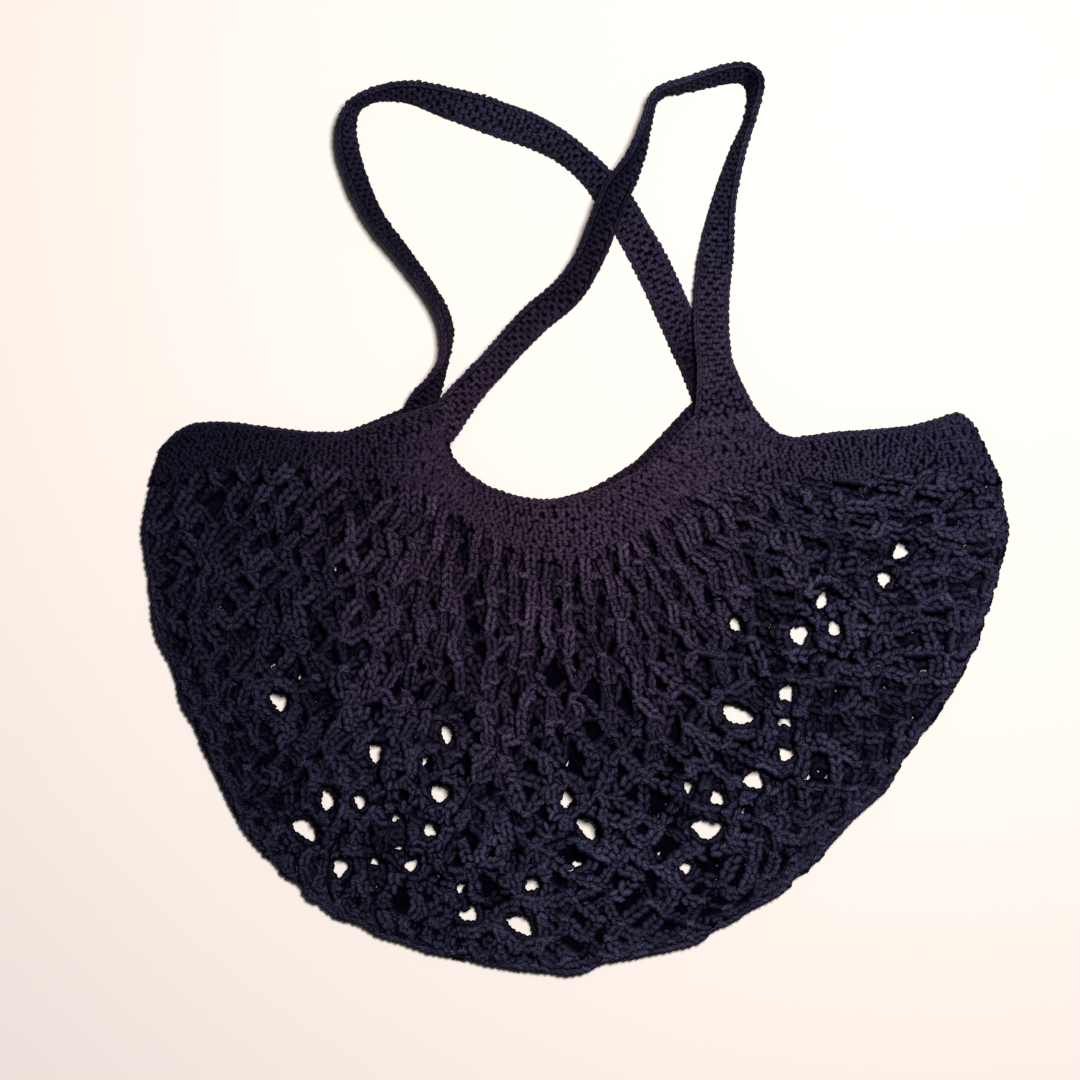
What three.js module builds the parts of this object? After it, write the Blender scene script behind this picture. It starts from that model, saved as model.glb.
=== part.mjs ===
// A crocheted mesh market bag, lying flat on a table with its mouth and straps towards +Y.
// Millimetres, +Z up. The origin is on the table, under the middle of the bag.
// The net body is one pouch of two layers, folded at its sides and along its round bottom.
// A band of close stitches runs round the mouth, and each layer carries one long strap.
import * as THREE from "three";

// Driving dimensions
const netThickness = 5; // a crochet chain, two yarns thick
const bandThickness = 4.5; // close single crochet
const strapThickness = 4.5;
const strapWidth = 21; // four rows of single crochet
const mouthGap = 11; // the front layer's height above the back layer, at its highest
const pleatDepth = 3; // gathers of the front layer below the band
const slumpDepth = 2; // creases across the front layer's two shoulders
const strandWidth = 12; // one strand of the net, at twice the real pitch
const rimWidth = 8; // folded edge round the bottom, left whole
const seamGap = 0.5; // between the net, the band and the straps
const flareLength = 34; // a strap narrows from its seat on the band over this length
const strapEdge = 1.3; // rounding of a strap's long edges
const netRows = 12; // half diamonds from the band to the folded edge
const stepsPerStation = 2; // columns of half diamonds between two stations
const strapSteps = 84;
const bodyMiddle = 90; // the net's middle lies this far below the origin

// The band in plan, from the left fold to the right fold, one row for each station of both layers.
// top and low are the band's two edges on the front layer, and the net hangs from low.
// backRise is how far the back band's upper edge shows above the front one.
const stations = [
  { topX: -241, topY: 54, lowX: -254, lowY: 19, backRise: 0 },
  { topX: -188, topY: 54, lowX: -195, lowY: 28, backRise: 2 },
  { topX: -126, topY: 48, lowX: -140, lowY: 26, backRise: 3 },
  { topX: -92, topY: 66, lowX: -94, lowY: 13, backRise: 4 },
  { topX: -76, topY: 46, lowX: -72, lowY: -1, backRise: 1 },
  { topX: -53, topY: 18, lowX: -44, lowY: -17, backRise: 0 },
  { topX: -24, topY: 11, lowX: -18, lowY: -27, backRise: 0 },
  { topX: 8, topY: 12, lowX: 10, lowY: -26, backRise: 2 },
  { topX: 38, topY: 25, lowX: 40, lowY: -12, backRise: 9 },
  { topX: 74, topY: 60, lowX: 70, lowY: 10, backRise: 8 },
  { topX: 101, topY: 70, lowX: 103, lowY: 18, backRise: 2 },
  { topX: 131, topY: 46, lowX: 145, lowY: 19, backRise: 2 },
  { topX: 202, topY: 52, lowX: 196, lowY: 24, backRise: 2 },
  { topX: 238, topY: 61, lowX: 256, lowY: 19, backRise: 0 },
];
// Each strap sits on the band between these two stations on the left, and these two on the right.
const leftSeat = [3, 4];
const rightSeat = [9, 10];

// The folds that close the net, both layers meeting there: down the two sides from the band's
// ends, and along the round bottom from the left side's end to the right one's.
const leftFold = [
  { x: -254, y: 19 },
  { x: -259, y: -13 },
  { x: -252, y: -60 },
  { x: -236, y: -105 },
  { x: -218, y: -148 },
  { x: -200, y: -186 },
];
const bottomFold = [
  { x: -200, y: -186 },
  { x: -163, y: -226 },
  { x: -118, y: -250 },
  { x: -70, y: -265 },
  { x: -20, y: -273 },
  { x: 30, y: -266 },
  { x: 78, y: -251 },
  { x: 120, y: -229 },
  { x: 156, y: -196 },
  { x: 190, y: -158 },
];
const rightFold = [
  { x: 256, y: 19 },
  { x: 260, y: -15 },
  { x: 248, y: -60 },
  { x: 230, y: -100 },
  { x: 208, y: -133 },
  { x: 190, y: -158 },
];

// The straps' centre lines between their two seats, one row for each bend.
// face is the width that shows from above, the rest being stood on edge, and lift is the
// height of the strap's lower edge above the table.
const frontStrapBends = [
  { x: -66, y: 74, face: 21, lift: 11 },
  { x: -46, y: 94, face: 20, lift: 6 },
  { x: -24, y: 117, face: 20, lift: 2 },
  { x: -5, y: 136, face: 18, lift: 0 },
  { x: 8, y: 154, face: 15, lift: 2.5 },
  { x: 17, y: 174, face: 16, lift: 5.5 },
  { x: 25, y: 195, face: 17, lift: 6 },
  { x: 35, y: 217, face: 12, lift: 5 },
  { x: 43, y: 238, face: 7, lift: 1 },
  { x: 51, y: 252, face: 7, lift: 0 },
  { x: 70, y: 260, face: 8, lift: 0 },
  { x: 97, y: 267, face: 8, lift: 0 },
  { x: 109, y: 261, face: 8, lift: 0 },
  { x: 106, y: 242, face: 8, lift: 0 },
  { x: 97, y: 217, face: 12, lift: 0 },
  { x: 89, y: 187, face: 17, lift: 1 },
  { x: 85, y: 154, face: 21, lift: 5.5 },
  { x: 82, y: 124, face: 21, lift: 9 },
  { x: 82, y: 96, face: 21, lift: 12 },
];
const backStrapBends = [
  { x: -82, y: 79, face: 16, lift: 0 },
  { x: -78, y: 95, face: 8, lift: 0 },
  { x: -76, y: 113, face: 8, lift: 0 },
  { x: -83, y: 131, face: 10, lift: 0 },
  { x: -100, y: 155, face: 13, lift: 0 },
  { x: -118, y: 179, face: 14, lift: 0 },
  { x: -130, y: 203, face: 15, lift: 0 },
  { x: -136, y: 227, face: 14, lift: 0 },
  { x: -133, y: 245, face: 10, lift: 0 },
  { x: -120, y: 252, face: 10, lift: 0 },
  { x: -100, y: 254, face: 13, lift: 0 },
  { x: -74, y: 248, face: 19, lift: 0 },
  { x: -44, y: 239, face: 21, lift: 0 },
  { x: -17, y: 227, face: 21, lift: 0 },
  { x: 5, y: 212, face: 21, lift: 0 },
  { x: 23, y: 192, face: 21, lift: 0 },
  { x: 40, y: 166, face: 21, lift: 0 },
  { x: 52, y: 142, face: 21, lift: 0 },
  { x: 62, y: 119, face: 21, lift: 0 },
  { x: 74, y: 93, face: 21, lift: 0 },
];

const columns = stepsPerStation * (stations.length - 1);
const foldHeight = netThickness;

// Smooth plan curves through the tables
function through(rows, xKey = "x", yKey = "y") {
  return new THREE.SplineCurve(rows.map((row) => new THREE.Vector2(row[xKey], row[yKey])));
}
const topEdge = through(stations, "topX", "topY");
const lowEdge = through(stations, "lowX", "lowY");
const backRise = through(stations, "topX", "backRise");
const [leftSide, bottomSide, rightSide] = [leftFold, bottomFold, rightFold].map((rows) => through(rows));

const at3 = (plan, z) => new THREE.Vector3(plan.x, plan.y, z);
const shareAcross = (column) => column / columns;

// The front layer's inner face: highest over the middle, down on the back layer at the folds
function frontHeight(across, down) {
  const overMiddle = 1 - Math.abs(2 * across - 1) ** 3;
  const overDepth = 1 - 0.9 * down ** 2.5;
  return netThickness + mouthGap * overMiddle * overDepth;
}

// Uneven gathers that run down from the band, and creases across the two shoulders
function creaseHeight(across, down) {
  const column = across * columns;
  const shoulder = Math.abs(2 * across - 1) ** 2;
  const grown = Math.min(1, down / 0.1);
  const gathers = 0.7 * Math.cos(column * 1.19) + 0.3 * Math.cos(column * 2.03 + 1);
  const creases = Math.cos(down * 21 + 3 * across);
  const folded = Math.min(1, 6 * across, 6 * (1 - across));
  const pleat = pleatDepth * gathers * (1 - shoulder) * (1 - down);
  const slump = slumpDepth * creases * shoulder * Math.max(0, 1 - 2 * down);
  return (pleat + slump) * grown * folded;
}

// A point of the net in plan, across it from fold to fold and down it from the band to the bottom:
// the patch that fills the four curves round it
function netPlan(across, down) {
  const plan = new THREE.Vector2();
  const mix = (curve, share, weight) => plan.addScaledVector(curve.getPoint(share), weight);
  mix(lowEdge, across, 1 - down);
  mix(bottomSide, across, down);
  mix(leftSide, down, 1 - across);
  mix(rightSide, down, across);
  mix(lowEdge, 0, -(1 - across) * (1 - down));
  mix(lowEdge, 1, -across * (1 - down));
  mix(bottomSide, 0, -(1 - across) * down);
  mix(bottomSide, 1, -across * down);
  return plan;
}

// Rows lie closer together below the band at the two shoulders. The back layer's rows are shifted
// by up to one row, so that its strands lie behind the front layer's gaps.
function rowShare(layer, column, row) {
  const across = shareAcross(column);
  const shoulder = Math.abs(2 * across - 1);
  const length = netPlan(across, 0).distanceTo(netPlan(across, 1));
  const first = seamGap / length;
  const last = 1 - rimWidth / length;
  const folded = column === 0 || column === columns;
  const shift = layer === "back" && !folded ? Math.sin((Math.PI * row) / netRows) : 0;
  return first + (last - first) * ((row + shift) / netRows) ** (1 + 0.3 * shoulder);
}

// Points and triangles of one closed solid
function newSkin() {
  const points = [];
  const faces = [];
  return {
    point: (p) => points.push(p) - 1,
    get: (id) => points[id],
    polygon(ring) {
      for (let k = 1; k < ring.length - 1; k++) faces.push(ring[0], ring[k], ring[k + 1]);
    },
    geometry() {
      const made = new THREE.BufferGeometry();
      const numbers = points.flatMap((p) => p.toArray());
      made.setAttribute("position", new THREE.Float32BufferAttribute(numbers, 3));
      made.setIndex(faces);
      made.computeVertexNormals();
      return made;
    },
  };
}

// A solid through a row of sections that all have the same number of points
function loft(sections, closed) {
  const skin = newSkin();
  const rings = sections.map((section) => section.map(skin.point));
  const sides = sections[0].length;
  const spans = closed ? rings.length : rings.length - 1;
  for (let k = 0; k < spans; k++) {
    const here = rings[k];
    const next = rings[(k + 1) % rings.length];
    for (let a = 0; a < sides; a++) {
      const b = (a + 1) % sides;
      skin.polygon([here[a], here[b], next[b], next[a]]);
    }
  }
  if (!closed) {
    skin.polygon([...rings[0]].reverse());
    skin.polygon(rings.at(-1));
  }
  return skin.geometry();
}

// The net body: a lattice of diamonds on two layers that share the side and bottom folds
function netBody() {
  const skin = newSkin();
  const known = new Map();
  const remember = (key, outer, inner) => {
    if (!known.has(key)) known.set(key, { outer: skin.point(outer()), inner: skin.point(inner()) });
    return known.get(key);
  };
  // Inside a fold, the wall's inner face lies one thickness towards the middle of the bag
  const inward = (plan) => {
    const towardsMiddle = new THREE.Vector2(0, -bodyMiddle).sub(plan).setLength(netThickness);
    return plan.clone().add(towardsMiddle);
  };
  const foldPoint = (key, plan) =>
    remember(key, () => at3(plan, foldHeight), () => at3(inward(plan), foldHeight));

  function node(layer, column, row) {
    const down = rowShare(layer, column, row);
    const plan = netPlan(shareAcross(column), down);
    if (column === 0 || column === columns) return foldPoint(`side ${column} ${row}`, plan);
    const inner = frontHeight(shareAcross(column), down) + creaseHeight(shareAcross(column), down);
    return layer === "front"
      ? remember(`front ${column} ${row}`, () => at3(plan, inner + netThickness), () => at3(plan, inner))
      : remember(`back ${column} ${row}`, () => at3(plan, 0), () => at3(plan, netThickness));
  }
  function foot(layer, column) {
    if (column === 0 || column === columns) return node(layer, column, netRows);
    return foldPoint(`foot ${column}`, netPlan(shareAcross(column), 1));
  }

  // Draws one cell of the lattice, its corners anticlockwise from above, with or without its gap
  function cell(layer, corners, open) {
    const ring = layer === "front" ? corners : [...corners].reverse();
    const outer = ring.map((corner) => corner.outer);
    const inner = ring.map((corner) => corner.inner);
    const gap = open ? gapShare(outer) : 0;
    if (gap === 0) {
      skin.polygon(outer);
      skin.polygon(inner.reverse());
      return;
    }
    const outerGap = shrunk(outer, gap);
    const innerGap = shrunk(inner, gap);
    for (let a = 0; a < ring.length; a++) {
      const b = (a + 1) % ring.length;
      skin.polygon([outer[a], outer[b], outerGap[b], outerGap[a]]);
      skin.polygon([inner[b], inner[a], innerGap[a], innerGap[b]]);
      skin.polygon([outerGap[a], outerGap[b], innerGap[b], innerGap[a]]);
    }
  }
  const middleOf = (ids) =>
    ids.reduce((sum, id) => sum.add(skin.get(id)), new THREE.Vector3()).divideScalar(ids.length);
  function shrunk(ids, share) {
    const middle = middleOf(ids);
    return ids.map((id) => skin.point(middle.clone().lerp(skin.get(id), share)));
  }
  // The share of a cell that is open once each side keeps half a strand, or 0 where it closes up
  function gapShare(ids) {
    const middle = middleOf(ids);
    const nearest = ids.map((id, k) => {
      const side = new THREE.Line3(skin.get(id), skin.get(ids[(k + 1) % ids.length]));
      return side.closestPointToPoint(middle, true, new THREE.Vector3()).distanceTo(middle);
    });
    const share = 1 - strandWidth / 2 / Math.min(...nearest);
    return share > 0.3 ? share : 0;
  }

  for (const layer of ["front", "back"]) {
    const n = (column, row) => node(layer, column, row);
    for (let i = 1; i < columns; i += 2) {
      cell(layer, [n(i, 1), n(i + 1, 0), n(i, 0), n(i - 1, 0)], false);
      cell(layer, [n(i, netRows - 1), n(i - 1, netRows), n(i + 1, netRows)], true);
      const rim = [foot(layer, i - 1), foot(layer, i), foot(layer, i + 1)];
      const edge = [n(i - 1, netRows), ...rim, n(i + 1, netRows)];
      cell(layer, edge.filter((corner, k) => edge.indexOf(corner) === k), false);
    }
    for (let j = 1; j < netRows; j++) {
      for (let i = 1 + (j % 2); i < columns; i += 2) {
        cell(layer, [n(i, j - 1), n(i - 1, j), n(i, j + 1), n(i + 1, j)], true);
      }
    }
    for (let j = 1; j < netRows; j += 2) {
      cell(layer, [n(0, j - 1), n(0, j + 1), n(1, j)], false);
      cell(layer, [n(columns, j - 1), n(columns - 1, j), n(columns, j + 1)], false);
    }
    // The mouth's edge, where the band is worked on
    for (let i = 0; i < columns; i++) {
      const [a, b] = layer === "front" ? [n(i, 0), n(i + 1, 0)] : [n(i + 1, 0), n(i, 0)];
      skin.polygon([a.outer, b.outer, b.inner, a.inner]);
    }
  }
  return skin.geometry();
}

// The band's upper edge on one layer: smooth, but straight where a strap sits on it
function bandTop(layer, column) {
  const share = shareAcross(column);
  const station = column / stepsPerStation;
  const seat = [leftSeat, rightSeat].find(([from, to]) => station > from && station < to);
  const point = topEdge.getPoint(share);
  if (seat) {
    const [a, b] = seat.map((end) => topEdge.getPoint(end / (stations.length - 1)));
    point.lerpVectors(a, b, station - seat[0]);
  }
  if (layer === "back") point.y += Math.max(0, backRise.getPoint(share).y);
  return point;
}

function bandSection(layer, column) {
  const top = bandTop(layer, column);
  const low = lowEdge.getPoint(shareAcross(column));
  if (column === 0 || column === columns) {
    const inset = (column === 0 ? 1 : -1) * bandThickness;
    const shifted = (plan) => new THREE.Vector3(plan.x + inset, plan.y, foldHeight);
    return [at3(top, foldHeight), at3(low, foldHeight), shifted(low), shifted(top)];
  }
  const inner = layer === "front" ? frontHeight(shareAcross(column), 0) : bandThickness;
  const outer = layer === "front" ? inner + bandThickness : 0;
  return [at3(top, outer), at3(low, outer), at3(low, inner), at3(top, inner)];
}

// The band: one ring of close stitches round the mouth, front layer then back layer
function topBand() {
  const sections = [];
  for (let i = 0; i <= columns; i++) sections.push(bandSection("front", i));
  for (let i = columns - 1; i > 0; i--) sections.push(bandSection("back", i));
  return loft(sections, true);
}

// Where a strap's end meets the band: its seat's middle, length, height and outward direction
function strapSeat(layer, [from, to]) {
  const a = bandTop(layer, from * stepsPerStation);
  const b = bandTop(layer, to * stepsPerStation);
  const along = b.clone().sub(a).normalize();
  const outward = new THREE.Vector2(-along.y, along.x);
  const middle = a.clone().lerp(b, 0.5).addScaledVector(outward, seamGap);
  const share = (from + to) / 2 / (stations.length - 1);
  const lift = layer === "front" ? frontHeight(share, 0) : 0;
  return { middle, outward, length: a.distanceTo(b) - 1, lift };
}

// One strap: a flat strip of crochet that rolls on to its edge where less of its face shows
function strap(layer, bends) {
  const start = strapSeat(layer, leftSeat);
  const end = strapSeat(layer, rightSeat);
  const rows = [
    { x: start.middle.x, y: start.middle.y, face: strapWidth, lift: start.lift },
    ...bends,
    { x: end.middle.x, y: end.middle.y, face: strapWidth, lift: end.lift },
  ];
  const path = new THREE.SplineCurve(rows.map((row) => new THREE.Vector2(row.x, row.y)));
  const pose = new THREE.SplineCurve(rows.map((row) => new THREE.Vector2(row.face, row.lift)));
  const sections = [];
  for (let k = 0; k <= strapSteps; k++) {
    const share = k / strapSteps;
    const centre = path.getPoint(share);
    const ahead = path.getTangent(share);
    if (k === 0) ahead.copy(start.outward);
    if (k === strapSteps) ahead.copy(end.outward).negate();
    const flareStart = Math.max(0, 1 - centre.distanceTo(start.middle) / flareLength);
    const flareEnd = Math.max(0, 1 - centre.distanceTo(end.middle) / flareLength);
    const flare = (start.length - strapWidth) * flareStart + (end.length - strapWidth) * flareEnd;
    const { x: face, y: lift } = pose.getPoint(share);
    const flatness = Math.min(1, face / strapWidth);
    sections.push(strapSection(centre, ahead, strapWidth + flare, flatness, Math.max(0, lift)));
  }
  return loft(sections, false);
}

// A strap's cross-section: a flat bar with softened edges, its lowest corner at the given lift
function strapSection(centre, ahead, width, flatness, lift) {
  const roll = Math.acos(flatness);
  const left = new THREE.Vector3(-ahead.y * Math.cos(roll), ahead.x * Math.cos(roll), Math.sin(roll));
  const up = new THREE.Vector3(ahead.y * Math.sin(roll), -ahead.x * Math.sin(roll), Math.cos(roll));
  const halfWidth = width / 2;
  const halfThickness = strapThickness / 2;
  const height = lift + halfWidth * Math.sin(roll) + halfThickness * Math.cos(roll);
  const corners = [
    [halfWidth, halfThickness - strapEdge],
    [halfWidth - strapEdge, halfThickness],
    [strapEdge - halfWidth, halfThickness],
    [-halfWidth, halfThickness - strapEdge],
    [-halfWidth, strapEdge - halfThickness],
    [strapEdge - halfWidth, -halfThickness],
    [halfWidth - strapEdge, -halfThickness],
    [halfWidth, strapEdge - halfThickness],
  ];
  return corners.map(([across, through]) =>
    at3(centre, height).addScaledVector(left, across).addScaledVector(up, through),
  );
}

// Dark navy cotton, a little warmer on the band and straps
function cotton(colour) {
  return new THREE.MeshStandardMaterial({ color: colour, roughness: 0.92, metalness: 0 });
}
const bag = new THREE.Group();
function addPiece(name, geometry, colour) {
  const piece = new THREE.Mesh(geometry, cotton(colour));
  piece.name = name;
  bag.add(piece);
}
addPiece("net_body", netBody(), 0x25222f);
addPiece("top_band", topBand(), 0x2b2531);
addPiece("strap_front", strap("front", frontStrapBends), 0x2b2531);
addPiece("strap_back", strap("back", backStrapBends), 0x2b2531);

export default bag;
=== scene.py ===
# A crocheted mesh bag lying flat: a body of chain net, and a band and two straps of close stitches.
# Every stitch is made of short bent lengths of yarn. Sizes are millimetres until a mesh is written.
import math

import bmesh
import bpy
import numpy as np
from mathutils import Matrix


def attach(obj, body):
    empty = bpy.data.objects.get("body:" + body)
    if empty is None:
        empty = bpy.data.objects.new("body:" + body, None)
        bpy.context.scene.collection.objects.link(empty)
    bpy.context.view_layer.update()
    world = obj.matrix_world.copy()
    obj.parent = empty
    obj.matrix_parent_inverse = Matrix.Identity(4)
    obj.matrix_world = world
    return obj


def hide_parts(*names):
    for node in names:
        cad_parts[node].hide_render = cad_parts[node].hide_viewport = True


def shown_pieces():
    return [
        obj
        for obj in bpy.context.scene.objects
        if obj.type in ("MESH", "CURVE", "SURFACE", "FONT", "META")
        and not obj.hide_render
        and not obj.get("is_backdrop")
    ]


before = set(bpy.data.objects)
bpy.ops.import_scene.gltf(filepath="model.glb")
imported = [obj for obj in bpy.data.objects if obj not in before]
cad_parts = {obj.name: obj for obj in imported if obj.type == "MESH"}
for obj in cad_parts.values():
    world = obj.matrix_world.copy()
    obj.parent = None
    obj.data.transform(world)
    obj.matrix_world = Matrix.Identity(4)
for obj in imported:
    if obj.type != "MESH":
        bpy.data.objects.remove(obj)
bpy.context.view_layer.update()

mm = 0.001
dice = np.random.default_rng(27)  # every uneven stitch is drawn from here, in order

# the bag as it lies: two layers that meet at the folds, the front one raised a little over the back
bagForm = {
    "netThickness": 5,
    "bandThickness": 4.5,
    "mouthGap": 11,  # front layer above the back layer, at its highest
    "gapClosed": 0.9,  # share of that gap that is gone at the bottom fold
    "gapFall": 2.5,  # how late it closes on the way down,
    "gapRound": 3,  # and towards the sides
    "foldHeight": 5,
    "foldRound": 7,  # the layers close on each other over this width
    "cornerEase": 0.07,  # stations over which the corners of the upper edge are rounded
    "outlineSteps": 240,
}

# the band's lower edge in plan, station by station from the left fold to the right one,
# and how far the back band's upper edge shows above the front one
bandLower = [
    (-254, 19, 0), (-195, 28, 0.5), (-140, 26, 1), (-94, 13, 4), (-72, -1, 1), (-44, -17, 0), (-18, -27, 0),
    (10, -26, 2), (40, -12, 6.5), (70, 10, 8.5), (103, 18, 2), (145, 19, 0.5), (196, 24, 0.5), (256, 19, 0),
]
# the front band's upper edge: station, x and y
bandTop = [
    (0, -248, 38), (0.12, -242, 46), (0.25, -232, 54), (0.45, -218, 55.5), (0.7, -204, 55), (1, -188, 52.5),
    (1.5, -160, 49), (2, -138, 48.5), (2.4, -122, 53), (2.7, -108, 58), (3, -80, 67), (4, -77, 44),
    (4.2, -75.5, 37), (4.4, -71.5, 31), (4.7, -63, 24), (5, -53, 17), (5.5, -38, 11.5), (6, -23, 8.7),
    (6.5, -8, 9), (7, 8, 12.5), (7.5, 23, 18), (8, 38, 25.5), (8.5, 55, 41), (9, 73, 60), (10, 107, 63),
    (10.25, 110, 58.5), (10.5, 115, 53), (10.75, 121.5, 48), (11, 131, 45), (11.15, 139, 46.5),
    (11.4, 158, 49), (11.7, 180, 50.5), (12, 202, 52.5), (12.5, 221, 58), (12.7, 228, 61), (12.85, 234, 60),
    (13, 239, 53),
]
leftSeat = (3, 4)  # the straps sit between these stations
rightSeat = (9, 10)
backLeftSeat = (2.76, 3.3)

# folds of the net, down both sides and round the bottom
leftFold = [(-254, 19), (-259, -13), (-252, -60), (-236, -105), (-218, -148), (-200, -186)]
rightFold = [(256, 19), (260, -15), (248, -60), (230, -100), (208, -133), (190, -158)]
bottomFold = [
    (-200, -186), (-163, -226), (-118, -250), (-70, -265), (-20, -273),
    (30, -266), (78, -251), (120, -229), (156, -196), (190, -158),
]


def unit(vectors):
    return vectors / np.maximum(np.linalg.norm(vectors, axis=-1, keepdims=True), 1e-9)


def turned(vectors, axes, angles):
    # vectors square to their axes, turned about them
    return vectors * np.cos(angles)[..., None] + np.cross(axes, vectors) * np.sin(angles)[..., None]


def raised(plan, height):
    # places in plan, with their heights added
    return np.concatenate([plan, height[..., None]], axis=-1)


def upward(count):
    return np.tile((0.0, 0.0, 1.0), (count, 1))


def through(rows):
    # a smooth curve through a list's rows, read at shares from 0 to 1
    knots = np.array(rows, float)
    last = len(knots) - 1

    def at(share):
        place = np.clip(np.asarray(share, float), 0, 1) * last
        k = np.minimum(place.astype(int), last - 1)
        w = (place - k)[..., None]
        before, here, there, after = (knots[np.clip(k + d, 0, last)] for d in (-1, 0, 1, 2))
        leave = (there - before) / 2
        arrive = (after - here) / 2
        bend = 3 * (there - here) - 2 * leave - arrive
        return here + w * (leave + w * (bend + w * (2 * (here - there) + leave + arrive)))

    return at


def eased(rows, place, step):
    # a list's rows read at their first column, the corners eased by taking the mean of three places
    knots = np.array(rows, float)
    values = [
        sum(np.interp(place + move, knots[:, 0], knots[:, k]) for move in (-step, 0, step)) / 3
        for k in range(1, knots.shape[1])
    ]
    return np.stack(values, axis=-1)


lastStation = len(bandLower) - 1
lowEdge = through([row[:2] for row in bandLower])
backRise = through([row[2:] for row in bandLower])
leftSide = through(leftFold)
rightSide = through(rightFold)
bottomSide = through(bottomFold)


def topEdge(across):
    return eased(bandTop, np.asarray(across, float) * lastStation, bagForm["cornerEase"])


def frontHeight(across, down):
    # inner face of the front layer
    overMiddle = 1 - np.abs(2 * across - 1) ** bagForm["gapRound"]
    left = 1 - bagForm["gapClosed"] * down ** bagForm["gapFall"]
    return bagForm["netThickness"] + bagForm["mouthGap"] * overMiddle * left


def roundUp(distance):
    # how far the two layers have parted at this distance from a fold, from 0 to 1
    share = np.clip(distance / bagForm["foldRound"], 0, 1)
    return np.sqrt(1 - (1 - share) ** 2)


# the whole outline of the net, down the left fold, round the bottom and up the right fold
fineShares = np.linspace(0, 1, bagForm["outlineSteps"])
outlinePoints = np.concatenate(
    [leftSide(fineShares), bottomSide(fineShares)[1:], rightSide(fineShares[::-1])[1:]]
)
outlineLengths = np.concatenate([[0], np.cumsum(np.linalg.norm(np.diff(outlinePoints, axis=0), axis=1))])
outlineShares = outlineLengths / outlineLengths[-1]
lowestPoint = int(np.argmin(outlinePoints[:, 1]))
leftOutline = outlinePoints[lowestPoint::-1]  # both from the bottom up
rightOutline = outlinePoints[lowestPoint:]
bandLine = lowEdge(fineShares)
bottomLine = bottomSide(fineShares)


def outlineAt(share):
    return np.stack([np.interp(share, outlineShares, outlinePoints[:, k]) for k in (0, 1)], axis=-1)


def foldsBeside(plan):
    # the folds to the left and to the right of each place, and below it
    leftX = np.interp(plan[..., 1], leftOutline[:, 1], leftOutline[:, 0])
    rightX = np.interp(plan[..., 1], rightOutline[:, 1], rightOutline[:, 0])
    lowerY = np.interp(plan[..., 0], bottomLine[:, 0], bottomLine[:, 1])
    return leftX, rightX, lowerY


def netHeight(plan):
    # middle of the front net above the floor, highest below the mouth
    x, y = plan[..., 0], plan[..., 1]
    leftX, rightX, lowerY = foldsBeside(plan)
    across = np.clip((x - leftX) / np.maximum(1, rightX - leftX), 0, 1)
    upperY = np.interp(x, bandLine[:, 0], bandLine[:, 1])
    down = np.clip((upperY - y) / np.maximum(1, upperY - lowerY), 0, 1)
    return frontHeight(across, down) + bagForm["netThickness"] / 2


# one bent length of yarn, which dives at both ends, ready to be repeated
grainForm = {
    "sides": 6,
    "rings": 3,
    "dive": 0.3,  # the ends lie this share of a thickness lower
    "fullness": 1.22,  # how much rounder it is than an egg
    "endFrom": 0.95,  # what lies further out than this share of half its length is an end
    "underShade": 0.03,  # painted shade on the yarn's underside
    # painted shade at both ends, where the yarn dives under the next stitch
    "endShade": 0.5,
    "shadeFrom": -0.55,  # height of full shade on its sides, by half thicknesses,
    "shadeReach": 1.3,  # and of full light above that
    "fall": 1.25,  # how fast the yarn darkens down its sides
    "thickSpread": 0.06,  # how much the lengths of yarn vary
    "lengthSpread": 0.05,
    "shadeRange": (0.6, 1.4),
    "floorGap": 0.2,  # yarn is pressed flat this far above the floor
}


def yarnGrain():
    ends = grainForm["endFrom"]
    shape = bmesh.new()
    bmesh.ops.create_uvsphere(
        shape, u_segments=grainForm["sides"], v_segments=grainForm["rings"], radius=1)
    for vertex in shape.verts:
        x, y, z = vertex.co.z, vertex.co.x, vertex.co.y  # the poles lie along the yarn
        swell = grainForm["fullness"] if abs(x) < ends else 1
        vertex.co = (x, y * swell, z * swell - grainForm["dive"] * x * x)
    shape.normal_update()
    shape.verts.index_update()
    points = np.array([vertex.co for vertex in shape.verts])
    corners = [[vertex.index for vertex in face.verts] for face in shape.faces]
    yarnMap = []
    for face in shape.faces:
        middle = face.calc_center_median()
        faceTurn = math.atan2(middle.z, middle.y)
        for vertex in face.verts:
            turn = faceTurn if abs(vertex.co.x) > ends else math.atan2(vertex.co.z, vertex.co.y)
            swing = (turn - faceTurn + math.pi) % (2 * math.pi) - math.pi
            yarnMap.append(((faceTurn + swing) / (2 * math.pi), (vertex.co.x + 1) / 2))
    shape.free()
    # painted shade: each grain darkens down its sides, most of all underneath and at its ends
    light = np.clip((points[:, 2] - grainForm["shadeFrom"]) / grainForm["shadeReach"], 0, 1)
    shade = grainForm["underShade"] + (1 - grainForm["underShade"]) * light ** grainForm["fall"]
    return {
        "points": points,
        "shade": shade * np.where(np.abs(points[:, 0]) > ends, grainForm["endShade"], 1),
        "loops": np.concatenate(corners),
        "starts": np.cumsum([0] + [len(c) for c in corners[:-1]]),
        "map": np.array(yarnMap),
    }


grain = yarnGrain()


def layGrains(centre, ahead, normal, halfLength, thickness, turn=0.0, tip=0.0, depth=1.0):
    # places grains along their way ahead, turned in the cloth and tipped out of it
    count = len(centre)
    turns = np.broadcast_to(turn, count)
    tips = np.broadcast_to(tip, count)
    normal = unit(normal)
    ahead = unit(ahead - normal * (ahead * normal).sum(-1, keepdims=True))
    along = turned(ahead, normal, turns)
    side = np.cross(normal, along)
    along = turned(along, side, -tips)
    up = np.cross(along, side)
    half = np.broadcast_to(halfLength, count)[:, None]
    thick = np.broadcast_to(thickness, count)[:, None]
    return centre, along * half, side * thick, up * thick, np.broadcast_to(depth, count)


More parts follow.
